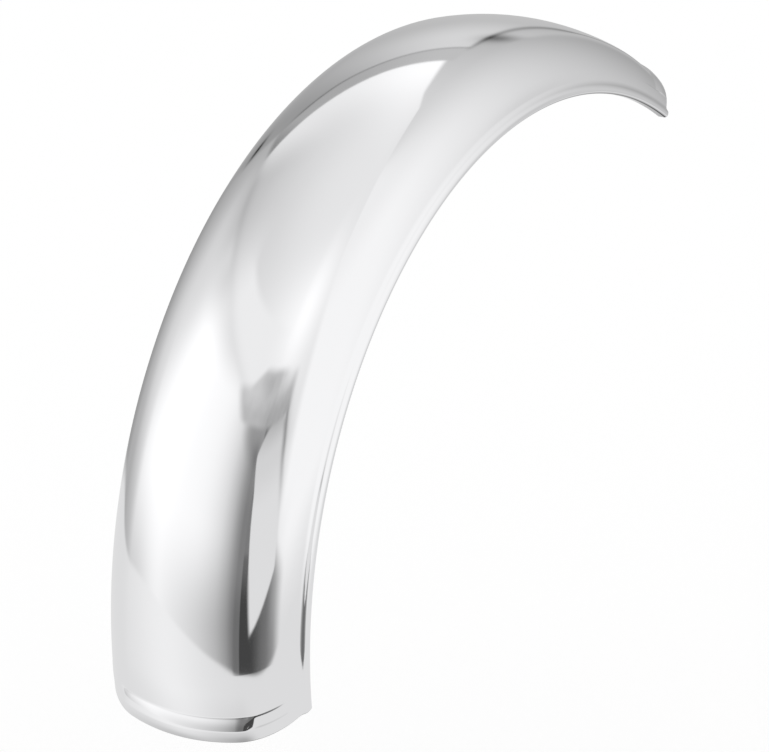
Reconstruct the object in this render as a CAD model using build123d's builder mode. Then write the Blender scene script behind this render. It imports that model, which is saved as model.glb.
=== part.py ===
from build123d import *
from build123d.topology import SkipClean
import os
from math import cos, degrees, radians, sin, sqrt

# Front mudguard of a motorcycle: one polished aluminium sheet, rolled and pressed to a
# round-shouldered channel that follows the tyre. Its long edges flare out to a rounded lip and
# are folded back under, and a raised bead crosses each end to stiffen it. Nothing is drilled.
# The origin lies on the underside of the crown, straight above the wheel's axle, where the
# fork bridge meets the guard. +X points forward, +Y along the axle to the left, +Z up.
# Lengths are millimetres, angles are degrees.

# Sheet, and the circle that the crown's outer face follows round the axle
sheet = 1.5
guard_radius = 350.0

# Section across the guard, from the crown outwards; angles are slopes below the horizontal,
# the lip's where it leaves the crease and is flattest, and its width is measured round it.
# Radii are those of the outer face, apart from the fold's, which is its inside bend radius
crown_radius = 156.0
crown_half_angle = 15.5
shoulder_radius = 50.0
flank_angle = 67.0
crease_radius = 8.0
lip_angle = 36.0
lip_radius = 6.0
lip_width = 5.0
fold_radius = 0.5
return_width = 4.5

# Ends: angles round the axle, from straight above it to the end of the lip's edge, and the
# slant of the cut that ends the sheet, which lets the crown run on past the lips
rear_reach = 96.5
front_reach = 33.2
end_rake = 25.0

# Stretch of the sheet at each end that takes the bead, and what is left there for the cut
end_length = 40.0
trim_allowance = 60.0

# Bead across each end: a pressed ridge, round on top, that stops square, short of the crease
bead_width = 9.5
bead_height = 1.6
bead_setback = 9.7
bead_gap = 7.5
bead_tip_wall = 2.0
bead_curve_steps = 5

# The axle, and the round bar whose top presses the bead out of the sheet
axle = Vector(0, 0, sheet - guard_radius)
axle_line = Axis(axle, (0, 1, 0))
bar_radius = (bead_width**2 / 4 + bead_height**2) / (2 * bead_height)
bar_depth = bar_radius - bead_height


def station(angle, ahead=0.0):
    """Plane across the guard, turned this far behind the vertical and set ahead of the axle."""
    forward = Vector(cos(radians(angle)), 0, sin(radians(angle)))
    return Plane(origin=axle + forward * ahead, x_dir=(0, 1, 0), z_dir=forward)


# Section of the sheet above the axle: its outer face from edge to edge, thickened inwards
crown_centre = Vector(0, guard_radius - crown_radius)
lip_turn = degrees(lip_width / lip_radius)
with BuildSketch(station(0)) as sheet_section:
    with BuildLine():
        crown = CenterArc(crown_centre, crown_radius, 90 + crown_half_angle, -2 * crown_half_angle)
        shoulder = JernArc(crown @ 1, crown % 1, shoulder_radius, crown_half_angle - flank_angle)
        crease = JernArc(shoulder @ 1, shoulder % 1, crease_radius, flank_angle - lip_angle)
        lip = JernArc(crease @ 1, crease % 1, lip_radius, -lip_turn)
        fold = JernArc(lip @ 1, lip % 1, fold_radius + sheet, lip_angle + lip_turn - 180)
        edge = Line(fold @ 1, fold @ 1 + (fold % 1) * return_width)
        mirror([shoulder, crease, lip, fold, edge], about=Plane.YZ)
        offset(amount=sheet, side=Side.RIGHT)
    make_face()

# Space under the crown, up to the middle of the sheet, from flank to flank
half_sheet = sheet / 2
with BuildSketch(station(0)) as space_section:
    with BuildLine():
        roof = CenterArc(crown_centre, crown_radius - half_sheet, 90, -crown_half_angle)
        haunch = JernArc(roof @ 1, roof % 1, shoulder_radius - half_sheet, crown_half_angle - flank_angle)
        wall = Line(haunch @ 1, haunch @ 1 - Vector(0, 2 * bar_radius))
        Line(wall @ 1, Vector(0, (wall @ 1).Y))
        mirror(about=Plane.YZ)
    make_face()


def turned(section, start, arc):
    """A section turned about the axle, forward from this far behind the vertical."""
    with BuildPart() as stretch:
        add(section.sketch.rotate(axle_line, -start))
        revolve(axis=axle_line, revolution_arc=arc)
    return stretch.part


def below_crown(slope, depth):
    """Place in the section at this slope, this deep under the outer face: across, from the axle."""
    way_out = Vector(sin(radians(slope)), cos(radians(slope)))
    if slope <= crown_half_angle:
        return crown_centre + way_out * (crown_radius - depth)
    join = Vector(sin(radians(crown_half_angle)), cos(radians(crown_half_angle)))
    return crown_centre + join * (crown_radius - shoulder_radius) + way_out * (shoulder_radius - depth)


def bead_bar(plane, radius, tip_wall=0.0):
    """Round bar under the crown, in a plane beside an end, that keeps its depth from tip to tip."""
    ahead = (plane.origin - axle).length
    stop_slope = flank_angle - degrees((bead_gap + tip_wall) / shoulder_radius)
    steps = range(-bead_curve_steps, bead_curve_steps + 1)
    places = [below_crown(stop_slope * abs(step) / bead_curve_steps, bar_depth) for step in steps]
    sides = [1 if step > 0 else -1 for step in steps]
    route = [(side * place.X, sqrt(place.Y**2 - ahead**2)) for side, place in zip(sides, places)]
    with BuildPart() as bar:
        with BuildLine() as path:
            centre_line = Spline([plane.from_local_coords(spot) for spot in route])
        with BuildSketch(Plane(origin=centre_line @ 0, x_dir=-plane.y_dir, z_dir=centre_line % 0)):
            Circle(radius)
        sweep(path=path.wire())
    return bar.part


# One end of the sheet, with the end of its lip straight above the axle: the section turned a
# little way, cut off at a slant, with the bead's top pressed out and its groove left below
edge_radius = (edge @ 1).Y
end_plane = station(end_rake, edge_radius * sin(radians(end_rake)))
bead_plane = end_plane.offset(bead_setback)
end_arc = degrees(end_length / guard_radius)
cut_arc = degrees(trim_allowance / guard_radius)
bead_top = bead_bar(bead_plane, bar_radius) - turned(space_section, cut_arc, cut_arc + end_arc)
with BuildPart() as end:
    add(turned(sheet_section, cut_arc, cut_arc + end_arc))
    split(bisect_by=end_plane, keep=Keep.TOP)
    add(bead_top)
    add(bead_bar(bead_plane, bar_radius - sheet, bead_tip_wall), mode=Mode.SUBTRACT)

# The guard: the long stretch between the ends, and the same end turned to the rear and the front.
# The stretches join as one solid, and their faces keep the seams, as short faces are exact ones
rear_end = end.part.rotate(axle_line, -rear_reach)
front_end = end.part.rotate(Axis.Z, 180).rotate(axle_line, front_reach)
middle_arc = rear_reach + front_reach - 2 * end_arc
with SkipClean():
    with BuildPart() as mudguard:
        add([turned(sheet_section, rear_reach - end_arc, middle_arc), rear_end, front_end])

os.makedirs("parts", exist_ok=True)
mudguard.part.label = "mudguard"
export_step(mudguard.part, "parts/mudguard.step")
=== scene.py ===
import bpy
from math import cos, degrees, radians, sin
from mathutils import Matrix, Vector


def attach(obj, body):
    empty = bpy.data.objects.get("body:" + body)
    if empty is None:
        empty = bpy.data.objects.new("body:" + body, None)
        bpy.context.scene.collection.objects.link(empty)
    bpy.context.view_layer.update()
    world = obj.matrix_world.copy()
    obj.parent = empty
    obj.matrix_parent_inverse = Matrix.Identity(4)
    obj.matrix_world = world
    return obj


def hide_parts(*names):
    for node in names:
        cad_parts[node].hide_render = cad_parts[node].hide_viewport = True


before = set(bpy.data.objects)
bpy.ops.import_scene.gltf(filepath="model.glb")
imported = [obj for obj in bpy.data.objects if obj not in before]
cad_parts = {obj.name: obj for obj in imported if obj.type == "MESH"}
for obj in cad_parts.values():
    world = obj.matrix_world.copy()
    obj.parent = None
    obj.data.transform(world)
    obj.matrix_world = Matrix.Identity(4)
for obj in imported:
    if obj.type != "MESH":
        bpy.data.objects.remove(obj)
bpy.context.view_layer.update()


# The mudguard's section. One aluminium sheet, rolled to a shallow crown with round shoulders,
# turned out through a crease to a rounded lip, and folded back under along both long edges.
# Slopes are degrees below the horizontal, and each bend starts where the last one ends.
sheet = 0.0015
guard_radius = 0.350
crown_radius, crown_slope = 0.156, 15.5
shoulder_radius, flank_slope = 0.050, 67.0
crease_radius, lip_slope = 0.008, 36.0
lip_radius, lip_width = 0.006, 0.0050
hem_slope = lip_slope + degrees(lip_width / lip_radius)
fold_inside, fold_slope = 0.0005, 180.0
return_width, return_steps = 0.0045, 2

# The bead stops on the shoulder between these slopes, so points lie close together there
bead_stop, bead_gone, margin = 57.6, 58.5, 1.0


def bend(start, end, count):
    """Slopes along a bend, without the first."""
    return [start + (end - start) * step / count for step in range(1, count + 1)]


shoulder_slopes = bend(crown_slope, bead_stop - margin, 20)
shoulder_slopes += bend(bead_stop - margin, bead_gone + margin, 10)
shoulder_slopes += bend(bead_gone + margin, flank_slope, 3)
bends = [
    (crown_radius, bend(0, crown_slope, 12)),
    (shoulder_radius, shoulder_slopes),
    (-crease_radius, bend(flank_slope, lip_slope, 12)),
    (lip_radius, bend(lip_slope, hem_slope, 14)),
    (fold_inside + sheet, bend(hem_slope, fold_slope, 16)),
]

# Outer face of one half, from the middle of the crown to the edge: the place to the side and up
# from the axle, the tilt of the sheet, and the run, which is the length along the sheet
side, up, tilt, run = 0.0, guard_radius, 0.0, 0.0
half_section = [(side, up, tilt, run)]
for radius, slopes in bends:
    for stop in slopes:
        turned = radians(stop)
        side += radius * (sin(turned) - sin(tilt))
        up += radius * (cos(turned) - cos(tilt))
        run += radius * (turned - tilt)
        tilt = turned
        half_section.append((side, up, tilt, run))
return_step = return_width / return_steps
for step in range(return_steps):
    side += return_step * cos(tilt)
    up -= return_step * sin(tilt)
    run += return_step
    half_section.append((side, up, tilt, run))
edge_height = up

# The whole outline: the outer face from edge to edge, and the inner face back
outer = [(-side, up, -tilt, run) for side, up, tilt, run in reversed(half_section[1:])]
outer += half_section
section = [(side, up, tilt, run, 0.0) for side, up, tilt, run in outer]
for side, up, tilt, run in reversed(outer):
    section.append((side - sheet * sin(tilt), up - sheet * cos(tilt), tilt, run, sheet))
points = len(section)
outline = bpy.data.meshes.new("section")
outline.from_pydata(
    [(point[0], point[1], 0) for point in section],
    [(index, (index + 1) % points) for index in range(points)],
    [],
)
section_columns = ("across", "height", "slope", "girth", "depth")
for column, name in enumerate(section_columns):
    values = outline.attributes.new(name, "FLOAT", "POINT")
    values.data.foreach_set("value", [point[column] for point in section])


class Lead:
    """A socket of a node tree. Arithmetic on it adds Math nodes; node() adds any other node."""

    def __init__(self, tree, socket=None):
        self.tree = tree
        self.socket = socket

    def node(self, kind, settings=None, inputs=None, out=0):
        made = self.tree.nodes.new(kind)
        for name, value in (settings or {}).items():
            setattr(made, name, value)
        for name, value in (inputs or {}).items():
            if isinstance(value, Lead):
                self.tree.links.new(value.socket, made.inputs[name])
            else:
                made.inputs[name].default_value = value
        return Lead(self.tree, made.outputs[out] if len(made.outputs) else None)

    def also(self, out):
        """Another output of the same node."""
        return Lead(self.tree, self.socket.node.outputs[out])

    def math(self, operation, *values):
        return self.node("ShaderNodeMath", {"operation": operation}, dict(enumerate(values)))

    def vector(self, operation, *values, out=0):
        settings = {"operation": operation}
        return self.node("ShaderNodeVectorMath", settings, dict(enumerate(values)), out)

    def __add__(self, other):
        return self.math("ADD", self, other)

    def __radd__(self, other):
        return self.math("ADD", other, self)

    def __sub__(self, other):
        return self.math("SUBTRACT", self, other)

    def __rsub__(self, other):
        return self.math("SUBTRACT", other, self)

    def __mul__(self, other):
        return self.math("MULTIPLY", self, other)

    def __rmul__(self, other):
        return self.math("MULTIPLY", other, self)

    def __truediv__(self, other):
        return self.math("DIVIDE", self, other)

    def __rtruediv__(self, other):
        return self.math("DIVIDE", other, self)


# Polished aluminium: bare metal, buffed to a near mirror after forming. The wheel of the buff
# leaves faint streaks along the guard, and the forming leaves slow waves in the sheet and finer
# ripples along its lips.
polish = bpy.data.materials.new("polished_aluminium")
polish.use_nodes = True
polish.node_tree.nodes.clear()
metal = Lead(polish.node_tree)


def noise(place, scale, detail):
    """Soft clouds between 0 and 1."""
    inputs = {"Vector": place, "Scale": scale, "Detail": detail}
    return place.node("ShaderNodeTexNoise", {}, inputs)


def fade(value, start, end):
    """Goes softly from 0 to 1 as the value goes from start to end."""
    return value.node(
        "ShaderNodeMapRange",
        {"interpolation_type": "SMOOTHSTEP"},
        {"Value": value, "From Min": start, "From Max": end, "To Min": 0.0, "To Max": 1.0},
    )


place = metal.node("ShaderNodeTexCoord", out="Object")
forward = metal.node("ShaderNodeSeparateXYZ", {}, {"Vector": place}, "X")
sideways, above_axle = forward.also("Y"), forward.also("Z") + (guard_radius - sheet)
round_axle = metal.math("ARCTAN2", forward, above_axle)
from_axle = metal.math("SQRT", forward * forward + above_axle * above_axle)
per_radian, per_metre = 9, 700
along = metal.node(
    "ShaderNodeCombineXYZ",
    {},
    {"X": per_radian * round_axle, "Y": per_metre * sideways, "Z": per_metre * from_axle},
)
streaks = noise(along, 1.0, 2.0)
waves = noise(place, 16.0, 1.0)
ripples = noise(place, 110.0, 2.0)
smudge = noise(place, 38.0, 4.0)
mirror, haze = 0.02, 0.03
roughness = mirror + haze * smudge + haze * streaks
crease_place, lip_place = 0.067, 0.074
near_lip = fade(metal.math("ABSOLUTE", sideways), crease_place, lip_place)
ripple_depth, streak_depth = 0.30, 0.004
uneven = waves + ripple_depth * near_lip * ripples + streak_depth * streaks
bump = metal.node("ShaderNodeBump", {}, {"Height": uneven, "Strength": 0.05, "Distance": 0.002})
shader = metal.node(
    "ShaderNodeBsdfPrincipled",
    {},
    {"Base Color": (0.91, 0.91, 0.92, 1), "Metallic": 1.0, "Roughness": roughness, "Normal": bump},
)
metal.node("ShaderNodeOutputMaterial", {}, {"Surface": shader})


# The mudguard itself. The section is rolled round the axle from the rear end to the front end,
# both ends are cut off at a slant so that the crown runs on past the lips, and a bead is pressed
# across each end. It is one piece of bare sheet with nothing fixed to it.
rear_reach, front_reach, end_rake = 96.5, 33.2, 25.0
shoulder_start = crown_radius * radians(crown_slope)
sizes = {
    "Axle Height": sheet - guard_radius,
    "Rear Angle": radians(rear_reach + end_rake),
    "Front Angle": radians(front_reach + end_rake),
    "Cut Offset": edge_height * sin(radians(end_rake)),
    "Bead Turns": 0.0495,
    "Bead Flat": 0.058,
    "Bead Stop": shoulder_start + shoulder_radius * radians(bead_stop - crown_slope),
    "Bead Gone": shoulder_start + shoulder_radius * radians(bead_gone - crown_slope),
    "Front Bead": 0.38,
    "Sheet": sheet,
    "End Length": 0.045,
    "Edge Round": 0.0005,
}

# Folds that make the beads: the place, from the cut, the turn outwards, as a slope, and the
# rounding. Over the crown they make a dip, a ramp and a crest, lower at the front end, and on the
# shoulders of the rear end a low flat ridge
crown_folds = [
    (0.0340, -0.075, 0.0100),
    (0.0165, 0.505, 0.0008),
    (0.0140, -0.100, 0.0030),
    (0.0110, -0.090, 0.0030),
    (0.0083, -0.320, 0.0010),
    (0.0040, -0.180, 0.0040),
]
shoulder_folds = [
    (0.0170, 0.140, 0.0005),
    (0.0157, -0.140, 0.0005),
    (0.0092, -0.202, 0.0005),
    (0.0083, 0.202, 0.0005),
]

# Rows of points round the axle, which crowd together towards both cuts
end_rows, middle_rows, crowding = 84, 84, 1.5
rows = 2 * end_rows + middle_rows
roll = bpy.data.node_groups.new("roll_guard", "GeometryNodeTree")
roll.interface.new_socket("Geometry", in_out="INPUT", socket_type="NodeSocketGeometry")
roll.interface.new_socket("Geometry", in_out="OUTPUT", socket_type="NodeSocketGeometry")
keys = {}
for name in sizes:
    entry = roll.interface.new_socket(name, in_out="INPUT", socket_type="NodeSocketFloat")
    keys[name] = entry.identifier
press = Lead(roll)
given = press.node("NodeGroupInput", out="Geometry")
size = {name: given.also(name) for name in sizes}
line = press.node("GeometryNodeCurvePrimitiveLine", {}, {"End": (1, 0, 0)})
line = press.node(
    "GeometryNodeResampleCurve", {"mode": "COUNT"}, {"Curve": line, "Count": rows + 1}
)
line = press.node(
    "GeometryNodeStoreNamedAttribute",
    {"data_type": "FLOAT", "domain": "POINT"},
    {"Geometry": line, "Name": "row", "Value": press.node("GeometryNodeInputIndex")},
)
profile = press.node("GeometryNodeMeshToCurve", {}, {"Mesh": given})
skin = press.node(
    "GeometryNodeCurveToMesh", {}, {"Curve": line, "Profile Curve": profile, "Fill Caps": True}
)
row, across, height, slope, girth, depth = [
    press.node("GeometryNodeInputNamedAttribute", {"data_type": "FLOAT"}, {"Name": name})
    for name in ("row", *section_columns)
]


def between(value, low, high, to_low, to_high):
    """Runs from to_low to to_high as the value runs from low to high, and stops there."""
    return press.node(
        "ShaderNodeMapRange",
        {"clamp": True},
        {"Value": value, "From Min": low, "From Max": high, "To Min": to_low, "To Max": to_high},
    )


def way_in(share):
    """How far a row lies from a cut, by its share of the rows at that end."""
    return size["End Length"] * press.math("POWER", share, crowding)


def from_cut(offset):
    """The angle, from an end's own angle, at which a plane this far inside its cut meets the sheet."""
    return press.math("ARCSINE", (size["Cut Offset"] + offset) / height)


def pressed(folds):
    """How far these folds raise the sheet, along the normal of its section."""
    total = 0.0
    for fold_place, fold_turn, fold_round in folds:
        inside = press.math("SMOOTH_MAX", fold_place - cut_way, 0.0, fold_round)
        total = total + fold_turn * inside
    return total


rear_way = way_in(between(row, 0, end_rows, 0, 1))
front_way = way_in(between(row, rows - end_rows, rows, 1, 0))
middle_way = between(row, end_rows, rows - end_rows, 0, 1)
cut_way = press.math("MINIMUM", rear_way, front_way)
from_rear = size["Rear Angle"] - from_cut(rear_way)
from_front = from_cut(front_way) - size["Front Angle"]
angle = from_rear + (from_front - from_rear) * middle_way

flat_share = between(girth, size["Bead Turns"], size["Bead Flat"], 0, 1) * (1 - middle_way)
raised = pressed(crown_folds) * (1 - flat_share) * (1 + (size["Front Bead"] - 1) * middle_way)
raised = raised + pressed(shoulder_folds) * flat_share
raised = raised * between(girth, size["Bead Stop"], size["Bead Gone"], 1, 0)
near_edge = between(cut_way, 0, size["Edge Round"], 1, 0)
worn = size["Edge Round"] * (1 - press.math("SQRT", 1 - near_edge * near_edge))
raised = raised + worn * (2 * depth / size["Sheet"] - 1)
reach = height + raised * press.math("COSINE", slope)
spot = press.node(
    "ShaderNodeCombineXYZ",
    {},
    {
        "X": -1 * reach * press.math("SINE", angle),
        "Y": across + raised * press.math("SINE", slope),
        "Z": size["Axle Height"] + reach * press.math("COSINE", angle),
    },
)
skin = press.node("GeometryNodeSetPosition", {}, {"Geometry": skin, "Position": spot})
skin = press.node("GeometryNodeSetMaterial", {}, {"Geometry": skin, "Material": polish})
press.node("NodeGroupOutput", {}, {"Geometry": skin})

blank = bpy.data.objects.new("blank", outline)
bpy.context.scene.collection.objects.link(blank)
rolled = blank.modifiers.new("roll_guard", "NODES")
rolled.node_group = roll
for name, value in sizes.items():
    rolled[keys[name]] = value
blank_now = blank.evaluated_get(bpy.context.evaluated_depsgraph_get())
sheet_mesh = bpy.data.meshes.new_from_object(blank_now)
for name in ("row", *section_columns):
    if name in sheet_mesh.attributes:
        sheet_mesh.attributes.remove(sheet_mesh.attributes[name])
sharp_edge = radians(40)
sheet_mesh.shade_smooth()
sheet_mesh.set_sharp_from_angle(angle=sharp_edge)
bpy.data.objects.remove(blank)
mudguard = bpy.data.objects.new("mudguard_sheet", sheet_mesh)
bpy.context.scene.collection.objects.link(mudguard)
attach(mudguard, "root")
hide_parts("mudguard")


# The floor. A wide sheet of white paper, laid flat at the road's height under the wheel. It takes
# the guard's shadow, and shines a little itself, so that it is as white as what lies behind it.
tyre_radius = 0.320
road = sheet - guard_radius - tyre_radius
half_width = 12.0
corners = [(-half_width, -half_width), (half_width, -half_width)]
corners += [(half_width, half_width), (-half_width, half_width)]
paper = bpy.data.materials.new("white_paper")
paper.use_nodes = True
paper.node_tree.nodes.clear()
white = Lead(paper.node_tree)


def shown(tree):
    """1 for rays that show how a thing looks: from the camera, off metal or through glass."""
    ray = tree.node("ShaderNodeLightPath", out="Is Camera Ray")
    passed_on = tree.math("MAXIMUM", ray.also("Is Glossy Ray"), ray.also("Is Transmission Ray"))
    return tree.math("MAXIMUM", ray, passed_on)


own_light = 0.37 * shown(white)
lit = white.node("ShaderNodeBsdfDiffuse", {}, {"Color": (0.9, 0.9, 0.9, 1)})
shine = white.node("ShaderNodeEmission", {}, {"Color": (1, 1, 1, 1), "Strength": own_light})
both = white.node("ShaderNodeAddShader", {}, {0: lit, 1: shine})
white.node("ShaderNodeOutputMaterial", {}, {"Surface": both})
paper_mesh = bpy.data.meshes.new("floor")
paper_mesh.from_pydata([(*corner, road) for corner in corners], [], [(0, 1, 2, 3)])
paper_mesh.materials.append(paper)
floor = bpy.data.objects.new("floor", paper_mesh)
bpy.context.scene.collection.objects.link(floor)
floor.visible_glossy = False


# The studio: a tent of white cloth round the guard, lit from outside, with its front open for the
# camera and white paper below. Mirror metal shows its walls, so they are drawn by direction: the
# turn away from the far side, to the camera's right, and the rise over the horizon, in degrees.
world = bpy.data.worlds.new("studio")
bpy.context.scene.world = world
world.use_nodes = True
world.node_tree.nodes.clear()
air = Lead(world.node_tree)
way = air.node("ShaderNodeTexCoord", out="Generated")
right_way, far_way = (0.53244, -0.84648, 0), (0.84648, 0.53244, 0)
to_right = air.vector("DOT_PRODUCT", way, right_way, out="Value")
to_far = air.vector("DOT_PRODUCT", way, far_way, out="Value")
to_top = air.node("ShaderNodeSeparateXYZ", {}, {"Vector": way}, "Z")
turn = degrees(1) * air.math("ARCTAN2", to_right, to_far)
rise = degrees(1) * air.math("ARCSINE", to_top)

# The same turn, counted on past the camera: leftwards, and rightwards for the right wall
left_end, right_end, full_turn = 120.0, -150.0, 360
left = turn - full_turn * air.math("GREATER_THAN", turn, left_end)
right = turn + full_turn * air.math("LESS_THAN", turn, right_end)


def over(value, edge, soft):
    """1 above an edge and 0 below it, with a border this soft."""
    return fade(value, edge - soft, edge + soft)


def under(value, edge, soft):
    """1 below an edge and 0 above it, with a border this soft."""
    return fade(value, edge + soft, edge - soft)


def bow(value, middle):
    """The square of the way from the middle, for an edge that sags or arches."""
    away = value - middle
    return away * away


def hump(value, middle, width):
    """A soft round hump, 1 in the middle."""
    away = (value - middle) / width
    return air.math("EXPONENT", -1 * away * away)


def hang(behind, cloth, cover):
    """A cloth hung in front of what is behind it, where the cover is 1."""
    return behind + (cloth - behind) * cover


# Ceiling, brighter over the camera and where it runs down to the back wall. White is 1
tent = 0.86 - 0.14 * hump(left, -66, 50) * hump(rise, 54, 14)
tent = tent + 0.25 * hump(left, -165, 34) * hump(rise, 56, 16)
tent = tent + 0.26 * hump(left, 3, 20) * hump(rise, 43, 20)

# Strip of the ceiling over the left wall, which gets less light
left_top = 43 - 0.0036 * bow(left, -86)
strip = 0.92 - 0.28 * fade(left, -100, -58) - 0.08 * hump(rise, left_top, 2.2)
strip = strip - 0.08 * hump(left, -52, 14) * hump(rise, 38, 7)
strip_soft = 1.3 + 6 * fade(left, -92, -66)
strip_cover = fade(left, -150, -128) * fade(left, -30, -48) * under(rise, 52.2, strip_soft)
tent = hang(tent, strip, strip_cover)

# Left wall, with a lamp behind it, dimmer at its foot, its head and its near end
lamp_place, lamp_reach = -111, 31
lamp = hump(bow(left, lamp_place), 0, lamp_reach * lamp_reach)
left_wall = 0.38 + 0.38 * hump(left, -70, 30) + 0.65 * lamp
dim_foot = (0.14 + 0.22 * fade(left, -100, -140)) * fade(rise, 8, -16)
dim_foot = dim_foot + 0.24 * fade(left, -106, -88) * fade(left, -36, -56) * fade(rise, 14, -10)
dim_head = (0.28 - 0.20 * hump(left, -70, 8)) * fade(rise, 33, 43)
dim_end = 0.22 * fade(left, -136, -147)
left_wall = left_wall * (1 - dim_foot - dim_head) * (1 - dim_end)
tent = hang(tent, left_wall, fade(left, -158, -152) * under(rise, left_top, 1.5))

# Right wall, lighter towards the camera, with a straight top edge that is highest where it is near
top_steepness, nearest = 6.2, 83
towards = air.math("COSINE", radians(1) * (right - nearest))
right_top = degrees(1) * air.math("ARCTANGENT", top_steepness * towards)
far_part = 0.375 + 0.34 * fade(rise, -5, 70) + 0.12 * hump(right, 11, 4) * fade(rise, 24, 18)
near_part = 1.0 - 0.07 * fade(rise, 40, 70) - 0.22 * fade(rise, 0, -18)
right_wall = hang(far_part, near_part, fade(right, 5, 118))
right_wall = right_wall - 0.1 * fade(right, 140, 160) * fade(rise, 10, -2)
right_wall = right_wall - 0.14 * hump(right, 70, 9) * hump(rise, 3, 11)
far_corner = 5.7 + 0.1 * (rise - 40)
right_cover = over(right, far_corner, 1) * fade(right, 162, 152) * under(rise, right_top, 1.2)
tent = hang(tent, right_wall, right_cover)

# Back wall, under a slot below the ceiling, with three dark marks where the cloths meet
back_wall = 0.34 + 0.38 * fade(left, -26, 4) * (0.55 + 0.45 * fade(rise, 5, 25))
slot = 0.42 + 0.14 * fade(left, -20, 5) - 0.14 * fade(left, -26, -36)
slot_foot = 30.3 + 0.09 * (left + 20) * fade(left, -20, -10)
slot_head = 34.5 + 0.14 * (left + 38)
far_side = hang(back_wall, slot, over(rise, slot_foot, 0.8))
far_side = far_side - 0.18 * hump(rise, slot_foot, 0.6) * fade(left, -30, -24)
back_left = 0.014 * bow(rise, 27) * fade(rise, 30, 24) + 1.6 * (30 - rise) * fade(rise, 29, 31) - 31
back_cover = over(left, back_left, 1.5) * fade(left, 8.8, 7.4) * under(rise, slot_head, 0.7)
tent = hang(tent, far_side, back_cover)
tent = tent - 0.20 * hump(left, 8.3, 0.7) * fade(rise, 36, 30)
tent = tent - 0.30 * hump(left, 9.6, 3.0) * hump(rise, 25, 3.4)
tent = tent - 0.32 * hump(left, 0.4 * (12 - rise) - 26, 1.8) * hump(rise, 12, 3.2)

# Edges of the pale flap in the open front
low = air.math("MINIMUM", rise, 10)
flap_left = 0.022 * bow(low, -6) * fade(rise, -6, 0) + 0.7 * (rise - low) - 203.5
flap_right = 0.42 * rise - 0.002 * rise * rise + 3.5 * fade(rise, 14, 24) - 164.8
flap_foot = 0.004 * bow(left, -200) - 0.44 * (left + 200) - 6.5
flap_head = 31 - 0.018 * bow(left, -172)

# Dark room beyond the open front, with a curtain at its right
room = 0.06 + 0.08 * fade(rise, -9, 1) + 0.07 * fade(rise, 1, 3)
room_side = 0.28 - 0.12 * fade(rise, -8, -20)
room = room + 0.12 * fade(left, -172, -198) + room_side * fade(left, -194, -212)
curtain = 0.165 + 0.06 * fade(rise, -12, 0) + 0.03 * fade(rise, 10, 20) + 0.08 * fade(rise, 22, 29)
curtain = curtain - 0.06 * hump(left, -149, 3) * hump(rise, 24, 3)
room = hang(room, curtain, fade(left, -157.4, -156))
open_left = hang(-213, flap_left + 4, fade(rise, -9, 2))
open_right = 6 * fade(rise, 21, 29) - 146
open_cover = over(left, open_left, 7) * under(left, open_right, 4.5) * fade(rise, 33, 30)
tent = hang(tent, room, open_cover)

# The flap, and the shade it throws beside its left edge
shade = hump(left, flap_left + 1, 8) * fade(left, flap_left + 1, flap_left - 2)
tent = tent - 0.24 * shade * fade(rise, 16, 24) * fade(rise, 40, 30)
flap = 0.79 - 0.09 * fade(rise, 10, 22) - 0.20 * fade(rise, 22, 31)
flap_soft = 0.8 + 2.2 * fade(rise, 1, -6)
flap_cover = over(left, flap_left, 1.5) * under(left, flap_right, flap_soft)
flap_cover = flap_cover * over(rise, flap_foot, 0.7) * under(rise, flap_head, 1)
tent = hang(tent, flap, flap_cover)
tent = tent - 0.34 * hump(left, flap_left - 1, 2.4) * fade(rise, 3, 20) * fade(rise, 34, 30)

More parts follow.
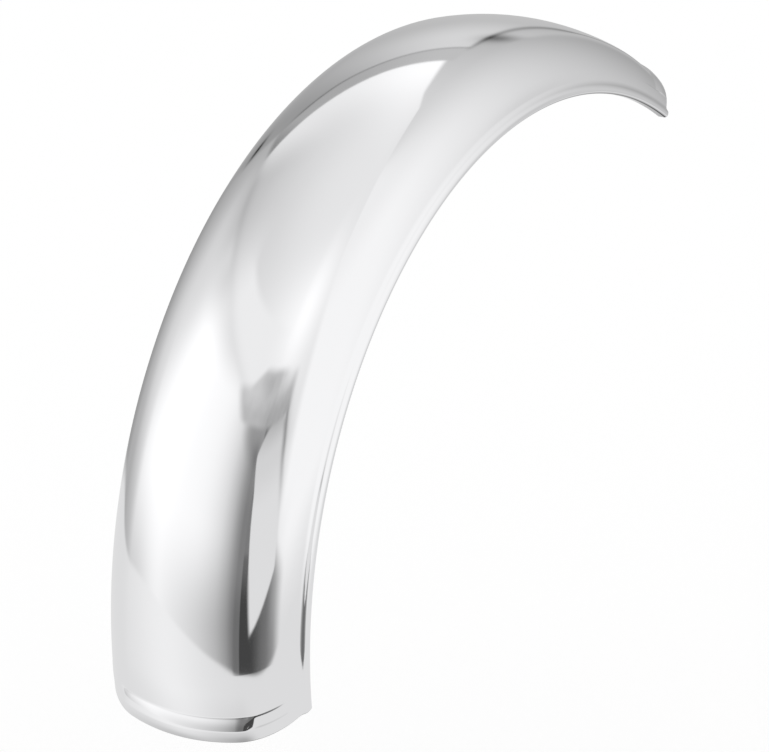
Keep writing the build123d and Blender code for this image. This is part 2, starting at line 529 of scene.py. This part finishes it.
# Header of creased cloth over the open front
creases = noise(way, 14.0, 3.0) - 0.5
header = 0.42 + 0.12 * fade(rise, 31, 38) + 0.12 * fade(left, -158, -138) + 0.14 * creases
header = header + 0.36 * fade(left, -154, -180) * fade(rise, 35, 42)
header = header - 0.12 * hump(left, -145, 6) * hump(rise, 40, 3)
header_right = 1.2 * (rise - 27) - 138.5
header_top = 43 - 0.0035 * bow(left, -154) - 4 * fade(left, -142, -133)
header_cover = fade(left, -191, -182) * under(left, header_right, 3)
header_cover = header_cover * fade(rise, 28.8, 30.6) * under(rise, header_top, 1.3)
tent = hang(tent, header, header_cover)

# Paper under the guard, up to the foot of the walls, lighter towards the left wall. Its darkening
# towards straight down, and the dark patch below and behind the guard, are painted shadow of the guard
# on the paper
beyond = air.math("MAXIMUM", -176 - left, 0)
paper_edge = air.math("SMOOTH_MIN", 0.0029 * beyond * beyond, 9, 2) + 14.3 * fade(left, -154, -84)
paper_edge = paper_edge - 9.5 * fade(left, -55, 0) + 4 * fade(left, 60, 110) - 24.1
# Painted shadow of the guard on the paper: darker towards straight down, and in a patch below and
# behind it
paper_light = 0.78 + 0.155 * hump(left, -108, 22) - 0.46 * fade(rise, -32, -76)
paper_light = paper_light - 0.40 * hump(left, 20, 35) * fade(rise, -22, -34)
tent = hang(tent, paper_light, under(rise, paper_edge, 0.8))

# The camera sees plain white, polished metal sees the tent, and all else gets an even light
even_light, plain_white = 0.7, 1
light = hang(even_light, plain_white, shown(air))
even = air.node("ShaderNodeBackground", {}, {"Color": (1, 1, 1, 1), "Strength": light})
cloth = air.node("ShaderNodeBackground", {}, {"Color": (1, 1, 1, 1), "Strength": tent})
glossy = air.node("ShaderNodeLightPath", out="Is Glossy Ray")
around = air.node("ShaderNodeMixShader", {}, {0: glossy, 1: even, 2: cloth})
air.node("ShaderNodeOutputWorld", {}, {"Surface": around})
world.cycles.sampling_method = "NONE"


# The camera, at the photograph's viewing angle, with a long lens. Its focal length was found in
# pixels, for a picture of this width.
focal_pixels, picture_width = 5039.1, 769
lens = bpy.data.cameras.new("camera")
lens.sensor_width = 36.0
lens.lens = focal_pixels / picture_width * lens.sensor_width
lens.clip_end = 60.0
camera = bpy.data.objects.new("camera", lens)
bpy.context.scene.collection.objects.link(camera)
eye = Vector((-2.89644, -1.76633, 0.93367))
aim = Vector((-0.10044, -0.00762, -0.22363))
camera.location = eye
camera.rotation_mode = "QUATERNION"
camera.rotation_quaternion = (aim - eye).to_track_quat("-Z", "Y")
bpy.context.scene.camera = camera
bpy.context.scene.view_settings.view_transform = "Standard"
